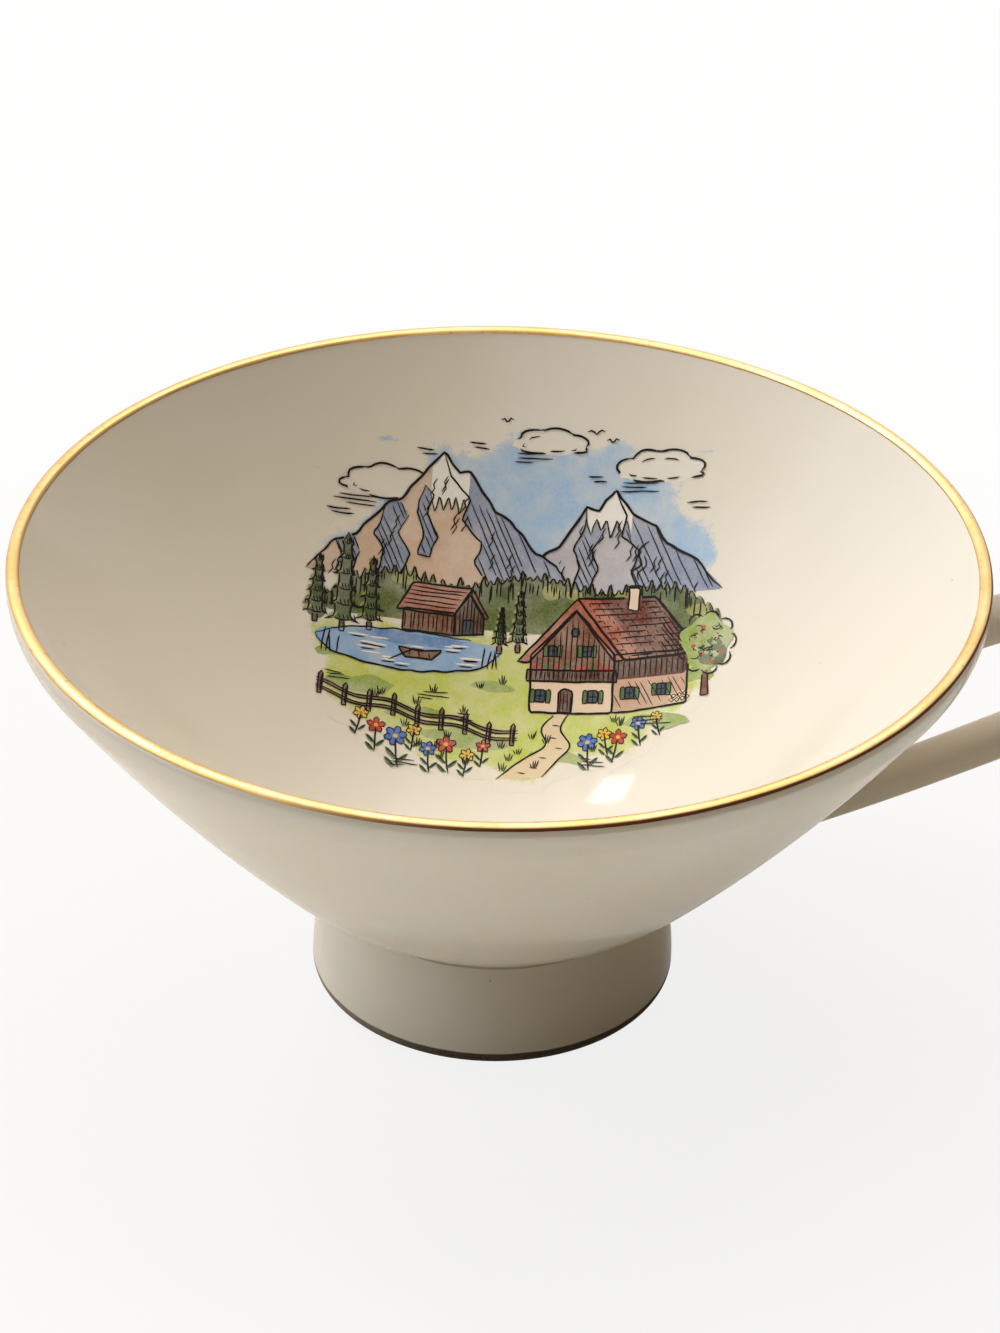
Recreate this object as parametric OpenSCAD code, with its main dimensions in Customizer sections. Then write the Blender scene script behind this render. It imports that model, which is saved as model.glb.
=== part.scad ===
// Espresso cup on a low foot, in glazed porcelain: a flared bowl, a hollow tapered foot and an
// upswept loop handle, stuck together with slip. The lip is gilded, and a round picture transfer
// lies on the far inside wall. Millimetres. The origin is the centre of the ring that the foot
// stands on, +Z is up, +X points to the handle, and the picture faces -Y.

/* [Bowl] */
// Outside diameter of the rim
rim_d = 84; // [76:0.5:92]
// Height from the table to the top of the lip
cup_h = 42.7; // [40:0.1:48]
// Height of the bowl's lowest outside point above the table
bowl_lift = 6.4; // [5:0.1:8]
// Outside radius of the bowl's round bottom
bottom_r = 31; // [28:0.1:33]
// Radius of the wall's slight bulge, seen in section
wall_r = 205; // [150:5:400]
// Radius of the turn that sets the wall upright below the lip
lip_turn_r = 4.4; // [1.5:0.1:7]
// Height of the upright stretch between the turn and the lip's rounding
lip_upright = 0.2; // [0.1:0.1:2]
// Thickness of the lip
lip_t = 1.3; // [1:0.1:1.8]
// Thickness of the bowl's floor
floor_t = 3.2; // [2.4:0.1:4]

/* [Foot] */
// Largest outside diameter of the foot
foot_d = 32.4; // [28:0.2:38]
// Radius of the foot's bulge, seen in section
foot_bulge_r = 26; // [20:1:40]
// Rounding of the foot's lower outside edge
foot_edge_r = 1.2; // [0.8:0.1:2]
// Width of the flat ring that the foot stands on
stand_ring_w = 2.2; // [1.4:0.1:3]
// Draft angle of the foot's hollow
foot_draft = 6; // [3:1:10]

/* [Handle] */
// How far the handle stands out past the rim
handle_reach = 18.7; // [15:0.1:24]
// Height of the lower end's middle on the bowl
handle_low_z = 14.9; // [13:0.1:18]
// Height of the upper end's middle on the bowl
handle_top_z = 35.6; // [33:0.1:37]
// How far the handle's highest point stays below the lip
handle_drop = 0.5; // [0:0.1:3]
// Thickness of the handle's lower end, seen from the side
handle_low_t = 2.8; // [2.4:0.1:3.6]
// Thickness of the handle's upper end, seen from the side
handle_top_t = 3.6; // [2.8:0.1:4.2]
// Width of the handle, seen from the end
handle_w = 4.7; // [4:0.1:6]
// Centre-line radius of the outer bend
bend_r = 4.9; // [4:0.1:6]
// Rise of the lower arm where it leaves the bowl, in degrees
low_root_rise = 19; // [10:1:30]
// Rise of the lower arm where it meets the bend, in degrees
low_bend_rise = 27; // [20:1:35]
// Rise of the upper arm where it leaves the bowl, in degrees
top_root_rise = 14; // [8:1:24]
// Rise of the upper arm where it meets the bend, in degrees
top_bend_rise = 21; // [12:1:28]
// Share by which the handle's ends grow where they meet the bowl
root_flare = 0.3; // [0:0.05:0.5]
// Length over which the ends grow
root_l = 5; // [3:0.5:8]

/* [Joints] */
// Thickness of the slip between two clay pieces
slip_t = 0.4; // [0.2:0.05:0.8]
// How far the slip is squeezed out around a seam
slip_bead = 0.3; // [0.1:0.05:0.6]

/* [Decoration] */
// Thickness of the fired gold and of the fired transfer
film_t = 0.1; // [0.06:0.01:0.2]
// Height of the gold line below the top of the lip
gold_h = 0.3; // [0.2:0.05:1.5]
// Diameter of the round picture transfer
picture_d = 43; // [30:1:44]
// Height of the picture's middle on the inside wall
picture_z = 23; // [21:0.5:27]
// Direction in which the picture's middle lies, counted from the handle
picture_turn = 86; // [60:1:120]

/* [Hidden] */
$fn = 180;
porcelain = "#f2ecdf";
slip_white = "#e6dfd0";
bright_gold = "#d9a441";
sky_blue = "#a9bfc9";
// Largest distance between a round in section and the chords that stand for it
chord_gap = 0.004;

// Section of the bowl in the plane of radius and height. Outside, a sphere's arc runs into the
// wall's arc and that into the lip's turn. Inside, a smaller concentric sphere's arc runs into a
// second wall arc, which ends on the round of the lip. All of them meet at tangents.
rim_r = rim_d / 2;
lip_r = lip_t / 2;
floor_r = bottom_r - floor_t;
bottom_c = [0, bowl_lift + bottom_r];
lip_c = [rim_r - lip_r, cup_h - lip_r];
turn_c = [rim_r - lip_turn_r, lip_c.y - lip_upright];
outer_c = meet(bottom_c, wall_r - bottom_r, turn_c, wall_r - lip_turn_r);
inner_c = meet(bottom_c, wall_r - floor_r, lip_c, wall_r + lip_r);
outer_low_a = heading(outer_c, bottom_c);
outer_top_a = heading(outer_c, turn_c);
inner_low_a = heading(inner_c, bottom_c);
inner_top_a = heading(inner_c, lip_c);

// Foot
foot_r = foot_d / 2;
ring_r = foot_r - foot_edge_r - stand_ring_w;
bulge_c = [foot_r - foot_bulge_r, foot_edge_r];
neck = meet_right(bottom_c, bottom_r + slip_t, bulge_c, foot_bulge_r);
hollow_top_r = ring_r - neck.y * tan(foot_draft);

// Handle's centre line: a lower arm, a round bend and an upper arm
handle_t = (handle_low_t + handle_top_t) / 2;
bend_c = [rim_r + handle_reach - handle_t / 2 - bend_r, cup_h - handle_drop - handle_t / 2 - bend_r];
bend_from = low_bend_rise - 90;
bend_to = top_bend_rise + 90;
root_depth = handle_top_t;
low_root = [outer_radius(handle_low_z), handle_low_z] - root_depth * toward(low_root_rise);
top_root = [outer_radius(handle_top_z), handle_top_z] - root_depth * toward(top_root_rise);
low_arm_steps = 16;
bend_steps = 18;
top_arm_steps = 10;
bend_start = bend_c + bend_r * toward(bend_from);
bend_end = bend_c + bend_r * toward(bend_to);
low_arm = curve(low_root, low_root_rise, bend_start, low_bend_rise, low_arm_steps);
bend = [for (i = [1:bend_steps - 1]) let (a = bend_from + (bend_to - bend_from) * i / bend_steps)
    concat(bend_c + bend_r * toward(a), a + 90)];
top_arm = curve(bend_end, top_bend_rise + 180, top_root, top_root_rise + 180, top_arm_steps);
centre_line = concat(low_arm, bend, top_arm);
run = run_lengths(centre_line);
// The handle's section is an oval with fuller corners than an ellipse, which has a power of 2
section_sides = 24;
section_power = 2.5;
arm_split_z = (handle_low_z + handle_top_z) / 2;

// Picture's middle on the inside wall, and the wall's slope there
picture_low = picture_z < bottom_c.y + floor_r * sin(inner_low_a);
picture_r = picture_low
    ? sqrt(floor_r ^ 2 - (picture_z - bottom_c.y) ^ 2)
    : inner_c.x + sqrt(wall_r ^ 2 - (picture_z - inner_c.y) ^ 2);
picture_tilt = heading(picture_low ? bottom_c : inner_c, [picture_r, picture_z]);

function toward(a) = [cos(a), sin(a)];
function heading(from, to) = atan2(to.y - from.y, to.x - from.x);

// Points on an arc, in steps that suit its bare radius, moved outward by a skin
function arc(c, r, from, to, skin = 0) =
    let (steps = ceil(abs(to - from) / (2 * acos(1 - chord_gap / r))))
    [for (i = [0:steps]) c + (r + skin) * toward(from + (to - from) * i / steps)];

// The points where two circles meet, left and right of the line through their centres
function crossing(a, ra, b, rb, side) =
    let (d = norm(b - a), u = (b - a) / d, along = (ra ^ 2 - rb ^ 2 + d ^ 2) / (2 * d))
    a + along * u + side * sqrt(ra ^ 2 - along ^ 2) * [-u.y, u.x];
function meet(a, ra, b, rb) =
    let (p = crossing(a, ra, b, rb, 1), q = crossing(a, ra, b, rb, -1)) p.x < q.x ? p : q;
function meet_right(a, ra, b, rb) =
    let (p = crossing(a, ra, b, rb, 1), q = crossing(a, ra, b, rb, -1)) p.x > q.x ? p : q;

// Outside radius of the bowl at a height
function outer_radius(z) = z < bottom_c.y + bottom_r * sin(outer_low_a)
    ? sqrt(bottom_r ^ 2 - (z - bottom_c.y) ^ 2)
    : outer_c.x + sqrt(wall_r ^ 2 - (z - outer_c.y) ^ 2);

// A smooth curve between two points with given headings, as [x, z, heading]
function curve(p, p_a, q, q_a, steps) =
    let (k = norm(q - p) / 3, c1 = p + k * toward(p_a), c2 = q - k * toward(q_a))
    [for (i = [0:steps]) let (t = i / steps, s = 1 - t,
        at = s ^ 3 * p + 3 * s ^ 2 * t * c1 + 3 * s * t ^ 2 * c2 + t ^ 3 * q,
        dir = s ^ 2 * (c1 - p) + 2 * s * t * (c2 - c1) + t ^ 2 * (q - c2))
        [at.x, at.y, atan2(dir.y, dir.x)]];

// Length run along a path up to each of its points
function step_length(p, q) = norm([q.x - p.x, q.y - p.y]);
function run_lengths(path, i = 0, sum = 0) = i == len(path) - 1
    ? [sum]
    : concat([sum], run_lengths(path, i + 1, sum + step_length(path[i], path[i + 1])));

// Swelling of the handle's section, and its growth toward the ends
function rounded(v) = sign(v) * abs(v) ^ (2 / section_power);
function flare(s) = let (from_end = min(s, run[len(run) - 1] - s) - root_depth)
    1 + root_flare * max(0, 1 - max(0, from_end) / root_l) ^ 2;

// Faces of the bowl in section, from the axis up to the lip and down again, with a skin over them
function outer_line(skin) = concat(
    arc(bottom_c, bottom_r, -90, outer_low_a, skin),
    arc(outer_c, wall_r, outer_low_a, outer_top_a, skin),
    arc(turn_c, lip_turn_r, outer_top_a, 0, skin));
function lip_line(skin) = arc(lip_c, lip_r, 0, inner_top_a + 180, skin);
function inner_line(skin) = concat(
    arc(inner_c, wall_r, inner_top_a, inner_low_a, -skin),
    arc(bottom_c, floor_r, inner_low_a, -90, -skin));

// All that lies within the bowl's outside face
module bowl_outside(skin = 0) {
    polygon(concat([[0, lip_c.y]], outer_line(skin)));
}

// The bowl's hollow
module bowl_hollow(skin = 0) {
    polygon(concat([[0, lip_c.y]], inner_line(skin)));
}

module bowl_section(skin = 0) {
    polygon(concat(outer_line(skin), lip_line(skin), inner_line(skin)));
}

module slip_section() {
    difference() {
        bowl_outside(slip_t);
        bowl_outside();
    }
}

module foot_section() {
    edge_c = [foot_r - foot_edge_r, foot_edge_r];
    difference() {
        polygon(concat(
            [[ring_r, 0]],
            arc(edge_c, foot_edge_r, -90, 0),
            arc(bulge_c, foot_bulge_r, 0, heading(bulge_c, neck)),
            [[hollow_top_r, neck.y]]));
        bowl_outside(slip_t);
    }
}

// Oval strip along the centre line, grown by a skin
module handle_strip(skin = 0) {
    m = section_sides;
    last = len(centre_line) - 1;
    points = [for (k = [0:last], j = [0:m - 1])
        let (c = centre_line[k], g = flare(run[k]), a = 360 * j / m,
            t = handle_low_t + (handle_top_t - handle_low_t) * run[k] / run[last],
            up = (t / 2 * g + skin) * rounded(cos(a)),
            side = (handle_w / 2 * g + skin) * rounded(sin(a)))
        [c[0] - up * sin(c[2]), side, c[1] + up * cos(c[2])]];
    skin_faces = [for (k = [0:last - 1], j = [0:m - 1])
        let (a = k * m + j, b = k * m + (j + 1) % m)
        each [[a, b, a + m], [b, b + m, a + m]]];
    caps = [[for (j = [m - 1:-1:0]) j], [for (j = [0:m - 1]) last * m + j]];
    polyhedron(points, concat(skin_faces, caps), convexity = 6);
}

module bowl() {
    color(porcelain) rotate_extrude() bowl_section();
}

module foot() {
    color(porcelain) rotate_extrude() foot_section();
}

module handle() {
    color(porcelain) difference() {
        handle_strip();
        rotate_extrude() bowl_outside(slip_t);
    }
}

module foot_joint() {
    color(slip_white) rotate_extrude() intersection() {
        slip_section();
        translate([hollow_top_r - slip_bead, 0])
            square([neck.x - hollow_top_r + 2 * slip_bead, neck.y + slip_t]);
    }
}

module handle_upper_joint() {
    color(slip_white) intersection() {
        rotate_extrude() slip_section();
        handle_strip(slip_bead);
        translate([0, -handle_w, arm_split_z]) cube([rim_d, 2 * handle_w, cup_h]);
    }
}

module handle_lower_joint() {
    color(slip_white) intersection() {
        rotate_extrude() slip_section();
        handle_strip(slip_bead);
        translate([0, -handle_w, 0]) cube([rim_d, 2 * handle_w, arm_split_z]);
    }
}

module rim_gilding() {
    color(bright_gold) rotate_extrude() intersection() {
        difference() {
            bowl_section(film_t);
            bowl_section();
        }
        translate([0, cup_h - gold_h]) square([rim_d, gold_h + lip_t]);
    }
}

module picture_transfer() {
    color(sky_blue) intersection() {
        rotate_extrude() difference() {
            bowl_hollow();
            bowl_hollow(film_t);
        }
        rotate([0, 0, picture_turn])
            translate([picture_r, 0, picture_z])
            rotate([0, -90 - picture_tilt, 0])
            cylinder(h = picture_d, d = picture_d, center = true);
    }
}

bowl();
foot();
handle();
foot_joint();
handle_upper_joint();
handle_lower_joint();
rim_gilding();
picture_transfer();
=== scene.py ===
import random
from math import atan2, ceil, cos, pi, radians, sin, sqrt, tan

import bpy
import numpy as np
from mathutils import Matrix, Vector, noise
from mathutils.geometry import delaunay_2d_cdt


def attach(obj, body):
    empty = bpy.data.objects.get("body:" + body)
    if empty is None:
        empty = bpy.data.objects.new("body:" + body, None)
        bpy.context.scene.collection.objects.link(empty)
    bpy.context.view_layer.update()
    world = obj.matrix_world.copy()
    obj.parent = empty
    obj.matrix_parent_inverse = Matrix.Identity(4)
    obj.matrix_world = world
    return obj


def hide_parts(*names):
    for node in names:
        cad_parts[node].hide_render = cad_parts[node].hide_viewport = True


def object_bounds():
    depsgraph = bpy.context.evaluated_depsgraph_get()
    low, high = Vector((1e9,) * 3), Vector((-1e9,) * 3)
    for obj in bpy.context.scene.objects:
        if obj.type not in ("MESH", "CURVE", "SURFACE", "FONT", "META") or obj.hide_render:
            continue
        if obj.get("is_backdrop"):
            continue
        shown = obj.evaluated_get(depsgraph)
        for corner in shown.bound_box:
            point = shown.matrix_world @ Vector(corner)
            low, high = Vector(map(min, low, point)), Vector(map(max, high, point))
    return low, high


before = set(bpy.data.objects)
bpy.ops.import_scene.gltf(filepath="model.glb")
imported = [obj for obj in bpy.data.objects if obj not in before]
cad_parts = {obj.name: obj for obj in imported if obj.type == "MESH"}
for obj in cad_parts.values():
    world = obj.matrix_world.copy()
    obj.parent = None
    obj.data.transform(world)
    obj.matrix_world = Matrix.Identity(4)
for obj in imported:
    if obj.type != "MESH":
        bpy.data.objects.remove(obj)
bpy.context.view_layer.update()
scene = bpy.context.scene
mm = 0.001  # pieces are drawn in millimetres and stored in metres
sharpAngle = radians(38)  # a crease steeper than this stays sharp
print("frame:", ", ".join(sorted(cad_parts)))


# shader sockets as numbers

class Field:
    def __init__(self, tree, socket=None):
        self.tree, self.socket = tree, socket

    def add(self, kind, settings=None, sockets=None, out=0):
        node = self.tree.nodes.new("ShaderNode" + kind)
        for key, value in (settings or {}).items():
            setattr(node, key, value)
        for key, value in (sockets or {}).items():
            if isinstance(value, Field):
                self.tree.links.new(value.socket, node.inputs[key])
            else:
                node.inputs[key].default_value = value
        return Field(self.tree, node.outputs[out] if node.outputs else None)

    def other(self, out):  # another output of the same node
        return Field(self.tree, self.socket.node.outputs[out])

    def math(self, operation, *values):
        return self.add("Math", {"operation": operation}, dict(enumerate(values)))

    def __add__(self, b):
        return self.math("ADD", self, b)

    def __radd__(self, b):
        return self.math("ADD", b, self)

    def __sub__(self, b):
        return self.math("SUBTRACT", self, b)

    def __rsub__(self, b):
        return self.math("SUBTRACT", b, self)

    def __mul__(self, b):
        return self.math("MULTIPLY", self, b)

    def __rmul__(self, b):
        return self.math("MULTIPLY", b, self)

    def __truediv__(self, b):
        return self.math("DIVIDE", self, b)

    def __rtruediv__(self, b):
        return self.math("DIVIDE", b, self)

    def __pow__(self, b):
        return self.math("POWER", self, b)

    def __rpow__(self, b):
        return self.math("POWER", b, self)

    def step(self, low, high, a=0.0, b=1.0):  # smooth change from a to b between low and high
        settings = {"interpolation_type": "SMOOTHSTEP"}
        return self.add("MapRange", settings, {0: self, 1: low, 2: high, 3: a, 4: b})

    def axis(self, i):  # one number of a vector
        return self.add("SeparateXYZ", {}, {0: self}, i)

    def clouds(self, size, detail=2.0, rough=0.5):  # noise with features of about size mm
        sockets = {"Vector": self, "Scale": 1 / (size * mm), "Detail": detail, "Roughness": rough}
        return self.add("TexNoise", {"noise_dimensions": "3D"}, sockets, "Fac")

    def blend(self, a, b):  # colour a where this is 0, colour b where it is 1
        return self.add("Mix", {"data_type": "RGBA"}, {0: self, 6: a, 7: b}, 2)


def linear(code):  # "#rrggbb" as the linear colour that shaders take
    parts = [int(code[i:i + 2], 16) / 255 for i in (1, 3, 5)]
    return tuple(c / 12.92 if c <= 0.04045 else ((c + 0.055) / 1.055) ** 2.4 for c in parts)


def rgba(code):
    return (*linear(code), 1.0)


def blank(owner):  # an empty node tree
    owner.use_nodes = True
    owner.node_tree.nodes.clear()
    return Field(owner.node_tree)


def newMaterial(name):
    material = bpy.data.materials.new(name)
    m = blank(material)
    return material, m, m.add("TexCoord", out="Object")


def close(tree, shader):
    tree.add("OutputMaterial", {}, {"Surface": shader})


def rays(tree):  # rays from the camera, and rays that are mirrored or let through
    path = tree.add("LightPath", out="Is Camera Ray")
    return path, tree.math("MAXIMUM", path.other("Is Glossy Ray"), path.other("Is Transmission Ray"))


def intoScene(name, data):
    made = bpy.data.objects.new(name, data)
    scene.collection.objects.link(made)
    return made


# porcelain under a clear gloss glaze

porcelainLook = {
    "white": "#f0eadf",
    "cream": "#ebe3d2",  # where the glaze pools
    "speck": "#8a7350",
    "clay": "#c9bda6",  # bare clay of the standing ring
    "paintedShade": "#3a2a1c",  # dark brown painted shade, for the line along the foot's bottom edge and the corner under the bowl
    "gloss": 0.12,
    "thin": 0.85, "glow": (0.6, 0.8, 1.0), "glowDepth": 5.8,  # light that comes through the thin wall
}


def glazeColour(p):
    pool = p.clouds(26, 2).step(0.38, 0.72)
    return (pool * 0.6).blend(rgba(porcelainLook["white"]), rgba(porcelainLook["cream"]))


def porcelain(name, bareBelow=None, creaseShadeAt=None, thin=0.0):
    look = porcelainLook
    material, m, p = newMaterial(name)
    colour = glazeColour(p)
    dots = p.add("TexVoronoi", {"feature": "F1"}, {"Vector": p, "Scale": 1 / (2.6 * mm)}, "Distance")
    rare = m.add("SeparateColor", {}, {0: dots.other("Color")}).step(0.93, 0.94)
    speck = dots.step(0.03, 0.055, 1.0, 0.0) * rare
    colour = (speck * 0.55).blend(colour, rgba(look["speck"]))
    rough = look["gloss"] + (p.clouds(5, 3) - 0.5) * 0.06
    coat = 0.05 - speck * 0.02
    peel, strength = p.clouds(1.1, 1) * 0.35 + p.clouds(9, 2) * 1.6, 0.25
    if bareBelow is not None:  # the ring under the foot is wiped free of glaze
        z = p.axis(2) / mm
        edge = z + (p.clouds(2.5, 2) - 0.5) * 0.25
        bare = edge.step(bareBelow - 0.08, bareBelow + 0.08, 1.0, 0.0)
        grit = p.clouds(0.35, 3)
        # painted light: the painted shade line is lighter on the left of the foot, where the light falls
        wearAndLight = p.axis(0).step(-15 * mm, -3 * mm, 0.6, 1.0)
        # painted shade: a dark line on the bare clay along the foot's bottom edge, standing in for its
        # contact shadow and darker reflection
        paintedShade = edge.step(0.05, 0.25) * bare * wearAndLight
        bareClay = (paintedShade * (0.75 + grit * 0.25)).blend(rgba(look["clay"]), rgba(look["paintedShade"]))
        colour = bare.blend(colour, bareClay)
        rough = rough + bare * (0.7 - rough)
        coat = coat * (1 - bare)
        peel, strength = peel + bare * grit * 1.5, 0.3
    if creaseShadeAt is not None:  # painted shade: a dark line in the corner where the foot meets the bowl
        z = p.axis(2) / mm
        away = m.math("ABSOLUTE", z - creaseShadeAt + (p.clouds(3, 2) - 0.5) * 0.1)
        colour = away.step(0.05, 0.2, 0.45, 0.0).blend(colour, rgba(look["paintedShade"]))
    normal = m.add("Bump", {}, {"Strength": strength, "Distance": 0.04 * mm, "Height": peel})
    close(m, m.add("BsdfPrincipled", {}, {
        "Base Color": colour, "Roughness": rough, "Coat Weight": coat, "Coat Roughness": 0.03,
        "Specular IOR Level": 0.09, "Subsurface Weight": thin, "Subsurface Radius": look["glow"],
        "Subsurface Scale": look["glowDepth"] * mm, "Normal": normal}))
    return material


# bright gold, brushed on by hand

goldLook = {
    "gold": "#eccf9c",
    "deep": "#dbaa62",
    "wearAndLight": "#bd9759",  # duller gold round the left back of the rim
    "darkReflection": "#5a280a",  # painted dark reflection on the edges of the line
    "gloss": 0.32,
    "dullAt": 2.35, "outerDarkAt": -0.75, "innerDarkAt": 2.65,  # directions round the rim, in radians
}


def brightGold(name, outerR, innerR):
    look = goldLook
    material, m, p = newMaterial(name)
    x, y, z = (p.axis(i) for i in range(3))
    turn = m.math("ARCTAN2", y, x)
    out = (x * x + y * y) ** 0.5 / mm
    streak = m.add("CombineXYZ", {}, {0: turn * 9, 1: out * 3.5, 2: z / mm * 3.5})
    brush = m.add("TexNoise", {}, {"Vector": streak, "Scale": 1.0, "Detail": 3.0}, "Fac")
    blotch = p.clouds(6, 3)
    colour = (brush * 0.5 + blotch * 0.4).step(0.2, 0.7).blend(rgba(look["gold"]), rgba(look["deep"]))
    wearAndLight = m.math("COSINE", turn - look["dullAt"]).step(0.4, 0.95) * (0.1 + blotch * 0.3)
    colour = wearAndLight.blend(colour, rgba(look["wearAndLight"]))
    ragged = (blotch - 0.5) * 0.12
    # painted reflection: the outer edge is darkened round the front and right, and the inner edge on the
    # left
    outerSide = m.math("COSINE", turn - look["outerDarkAt"]).step(0.2, 0.7)
    innerSide = m.math("COSINE", turn - look["innerDarkAt"]).step(0.55, 0.9)
    outerEdge = (out + ragged * 0.7).step(outerR - 0.17, outerR - 0.06) * outerSide
    innerEdge = (out + ragged).step(innerR + 0.08, innerR + 0.25, 1.0, 0.0) * innerSide
    darkReflection = m.math("MAXIMUM", outerEdge, innerEdge * 0.45)
    fleck = p.clouds(0.7, 3).step(0.56, 0.74) * 0.3  # where the gold lies thin
    colour = m.math("MAXIMUM", darkReflection * 0.94, fleck).blend(colour, rgba(look["darkReflection"]))
    rough = look["gloss"] + brush * 0.16 + darkReflection * 0.2
    normal = m.add("Bump", {}, {"Strength": 0.2, "Distance": 0.03 * mm, "Height": brush})
    close(m, m.add("BsdfPrincipled", {}, {
        "Base Color": colour, "Metallic": 1 - darkReflection * 0.9, "Roughness": rough, "Specular IOR Level": 0.1,
        "Normal": normal}))
    return material


# fired transfer colours, each a wash that lets a little porcelain through

transferLook = {
    "gloss": 0.12, "ink": "#15100d", "wornInk": "#4a3a30",
    "runOut": 4.0,  # how thin a wash is where its soft edge ends
}


def transferPaint(name):
    look = transferLook
    material, m, p = newMaterial(name)
    paint = m.add("Attribute", {"attribute_name": "paint"}, {}, "Color")
    wash = paint.other("Alpha")
    uneven = p.clouds(3.2, 4, 0.6).step(0.32, 0.7)
    grain = p.clouds(0.22, 1).step(0.3, 0.75)
    fade = m.math("MAXIMUM", wash - 1, 0.0) / (look["runOut"] - 1)
    bare = m.math("MINIMUM", wash * (uneven * 0.75 + grain * 0.25) + fade, 1.0)
    colour = bare.blend(paint, glazeColour(p))
    rough = look["gloss"] + (1 - bare) * (0.14 + grain * 0.08)
    normal = m.add("Bump", {}, {"Strength": 0.15, "Distance": 0.02 * mm, "Height": p.clouds(1.1, 1)})
    close(m, m.add("BsdfPrincipled", {}, {
        "Base Color": colour, "Roughness": rough, "Coat Weight": 0.05, "Coat Roughness": 0.05,
        "Specular IOR Level": 0.09, "Normal": normal}))
    return material


def transferInk(name):
    material, m, p = newMaterial(name)
    wearAndLight = p.clouds(0.5, 3).step(0.52, 0.8) * 0.35
    colour = wearAndLight.blend(rgba(transferLook["ink"]), rgba(transferLook["wornInk"]))
    close(m, m.add("BsdfPrincipled", {}, {
        "Base Color": colour, "Roughness": 0.34 + wearAndLight * 0.2, "Coat Weight": 0.06,
        "Coat Roughness": 0.06, "Specular IOR Level": 0.15}))
    return material


# meshes

def addPiece(name, points, faces, materials, nodes=()):
    mesh = bpy.data.meshes.new(name)
    mesh.from_pydata((np.asarray(points, float) * mm).tolist(), [], faces)
    mesh.validate()
    mesh.set_sharp_from_angle(angle=sharpAngle)
    for material in materials:
        mesh.materials.append(material)
    piece = intoScene(name, mesh)
    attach(piece, "root")
    if nodes:
        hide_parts(*nodes)
    print("piece:", name, len(mesh.polygons), "faces")
    return piece


def ringFaces(rings, sides, closedRings):
    faces = []
    for k in range(rings if closedRings else rings - 1):
        a, b = k * sides, (k + 1) % rings * sides
        for j in range(sides):
            i = (j + 1) % sides
            faces.append((a + j, a + i, b + i, b + j))
    return faces


def around(count):  # angles of a full turn in equal steps
    return np.arange(count) * 2 * pi / count


# turns [radius, height] points about the axis; a line that starts and ends on the axis gets two poles
def lathe(profile, sides, closed):
    body = profile if closed else profile[1:-1]
    points = np.array([[r * cos(t), r * sin(t), z] for r, z in body for t in around(sides)])
    faces = ringFaces(len(body), sides, closed)
    if closed:
        return points, faces
    count = len(points)
    points = np.vstack([points, [[0, 0, profile[0][1]], [0, 0, profile[-1][1]]]])
    last = count - sides
    faces += [(count, (j + 1) % sides, j) for j in range(sides)]
    faces += [(count + 1, last + j, last + (j + 1) % sides) for j in range(sides)]
    return points, faces


def at(r, z):
    return np.array([r, z])


def toward(a):
    return at(cos(a), sin(a))


def heading(a, b):
    return atan2(b[1] - a[1], b[0] - a[0])


def arc(c, r, start, end, steps):
    return [c + r * toward(start + (end - start) * i / steps) for i in range(steps + 1)]


def circlesMeet(a, ra, b, rb, right):
    d = np.linalg.norm(b - a)
    u = (b - a) / d
    along = (ra ** 2 - rb ** 2 + d ** 2) / (2 * d)
    side = sqrt(ra ** 2 - along ** 2) * at(-u[1], u[0])
    pair = sorted([a + along * u + side, a + along * u - side], key=lambda p: p[0])
    return pair[1] if right else pair[0]


def lengths(line):  # distance along a line to each of its points
    return np.concatenate([[0], np.cumsum(np.hypot(*np.diff(line, axis=0).T))])


def pointsAt(line, run, s):  # points of a line at distances s along it
    return np.column_stack([np.interp(s, run, line[:, k]) for k in (0, 1)])


def slope(line, run, s, step):  # which way a line goes at distances s along it
    d = pointsAt(line, run, s + step) - pointsAt(line, run, s - step)
    return (d / np.hypot(*d.T)[:, None]).T


def fillet(a, corner, b, steps):
    ts = np.linspace(0, 1, steps + 1)
    return [(1 - t) ** 2 * a + 2 * t * (1 - t) * corner + t ** 2 * b for t in ts]


# bowl

bowl = {
    "rimD": 84.0, "cupH": 42.7, "lift": 6.4, "bottomR": 31.0, "wallR": 205.0,
    "turnR": 4.4, "upright": 0.2, "lipT": 1.3, "floorT": 3.2, "sides": 240,
}
rimR, lipR = bowl["rimD"] / 2, bowl["lipT"] / 2
bottomR, wallR, turnR = (bowl[key] for key in ("bottomR", "wallR", "turnR"))
floorR = bottomR - bowl["floorT"]
bottomC = at(0, bowl["lift"] + bottomR)
lipC = at(rimR - lipR, bowl["cupH"] - lipR)
turnC = at(rimR - turnR, lipC[1] - bowl["upright"])
outerC = circlesMeet(bottomC, wallR - bottomR, turnC, wallR - turnR, False)
innerC = circlesMeet(bottomC, wallR - floorR, lipC, wallR + lipR, False)
outerLowA, outerTopA = heading(outerC, bottomC), heading(outerC, turnC)
innerLowA, innerTopA = heading(innerC, bottomC), heading(innerC, lipC)
down = -pi / 2


def outsideLine(steps=(36, 40, 10)):
    return (arc(bottomC, bottomR, down, outerLowA, steps[0])
            + arc(outerC, wallR, outerLowA, outerTopA, steps[1])[1:]
            + arc(turnC, turnR, outerTopA, 0, steps[2])[1:])


def insideLine(steps=(44, 36)):
    return (arc(innerC, wallR, innerTopA, innerLowA, steps[0])
            + arc(bottomC, floorR, innerLowA, down, steps[1])[1:])


def lipLine(steps=18):
    return arc(lipC, lipR, 0, innerTopA + pi, steps)


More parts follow.
